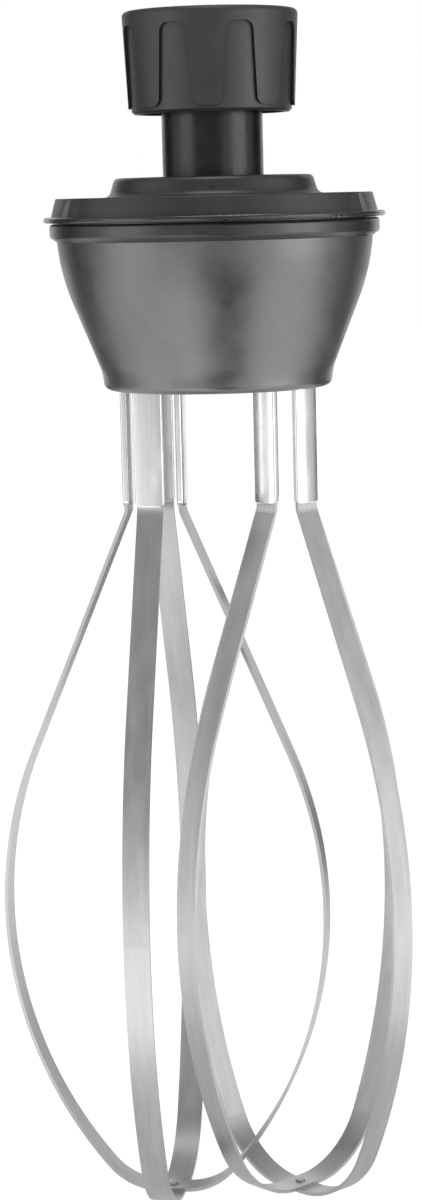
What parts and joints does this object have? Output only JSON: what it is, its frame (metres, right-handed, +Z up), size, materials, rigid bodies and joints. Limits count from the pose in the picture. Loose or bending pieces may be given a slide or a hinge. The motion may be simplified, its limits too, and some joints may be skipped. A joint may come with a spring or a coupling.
{
  "type": "immersion blender whisk attachment",
  "caption": "Counter-rotating strip-loop whisks under a bell-shaped gear housing, with a fluted collar that locks onto a stick blender's motor unit.",
  "frame": {"origin": "centre of the coupling face, where the neck meets the motor unit", "axes": "+Z up along the drive axis towards the motor unit, -Y towards the viewer of the picture, +X to the viewer's right through the axis of the right whisk"},
  "size_m": [0.1338, 0.108, 0.385],
  "materials": {
    "collar_plastic": "matte dark grey",
    "neck_gloss": "glossy black",
    "cover_plastic": "matte dark grey",
    "bell_paint": "satin grey metallic paint",
    "strip_steel": "brushed",
    "sleeve_steel": "polished",
    "hub_steel": "turned",
    "shaft_steel": "ground",
    "gear_steel": "cut",
    "bush_bronze": "sintered bronze",
    "seal_rubber": "matte black"
  },
  "bodies": {
    "case": {"neck_tube": "neck_gloss", "cover": "cover_plastic", "gear_carrier": "cover_plastic", "bell_housing": "bell_paint", "drive_upper_bush": "bush_bronze", "drive_lower_bush": "bush_bronze", "left_upper_bush": "bush_bronze", "left_lower_bush": "bush_bronze", "right_upper_bush": "bush_bronze", "right_lower_bush": "bush_bronze", "face_seal": "seal_rubber", "left_shaft_seal": "seal_rubber", "right_shaft_seal": "seal_rubber", "front_case_screw": "shaft_steel", "back_case_screw": "shaft_steel"},
    "collar": {"coupling_collar": "collar_plastic"},
    "drive": {"drive_shaft": "shaft_steel", "drive_pinion": "gear_steel"},
    "left_whisk": {"left_spindle": "shaft_steel", "left_wheel": "gear_steel", "left_sync_gear": "gear_steel", "left_hub": "hub_steel", "left_sleeve_1": "sleeve_steel", "left_sleeve_2": "sleeve_steel", "left_sleeve_3": "sleeve_steel", "left_sleeve_4": "sleeve_steel", "left_upper_loop": "strip_steel", "left_lower_loop": "strip_steel", "left_rivet": "hub_steel"},
    "right_whisk": {"right_spindle": "shaft_steel", "right_sync_gear": "gear_steel", "right_hub": "hub_steel", "right_sleeve_1": "sleeve_steel", "right_sleeve_2": "sleeve_steel", "right_sleeve_3": "sleeve_steel", "right_sleeve_4": "sleeve_steel", "right_upper_loop": "strip_steel", "right_lower_loop": "strip_steel", "right_rivet": "hub_steel"}
  },
  "joints": [
    {"name": "collar_turn", "type": "hinge", "parent": "case", "child": "collar", "pos_m": [0, 0, 0], "axis": [0, 0, 1], "continuous": true},
    {"name": "left_whisk_spin", "type": "hinge", "parent": "case", "child": "left_whisk", "pos_m": [-0.021, 0, 0], "axis": [0, 0, 1], "continuous": true},
    {"name": "right_whisk_spin", "type": "hinge", "parent": "case", "child": "right_whisk", "pos_m": [0.021, 0, 0], "axis": [0, 0, 1], "continuous": true},
    {"name": "drive_spin", "type": "hinge", "parent": "case", "child": "drive", "pos_m": [0, 0, 0], "axis": [0, 0, 1], "continuous": true}
  ],
  "couplings": [
    {"joint": "right_whisk_spin", "follows": "left_whisk_spin", "ratio": -1},
    {"joint": "drive_spin", "follows": "left_whisk_spin", "ratio": -2.5}
  ]
}
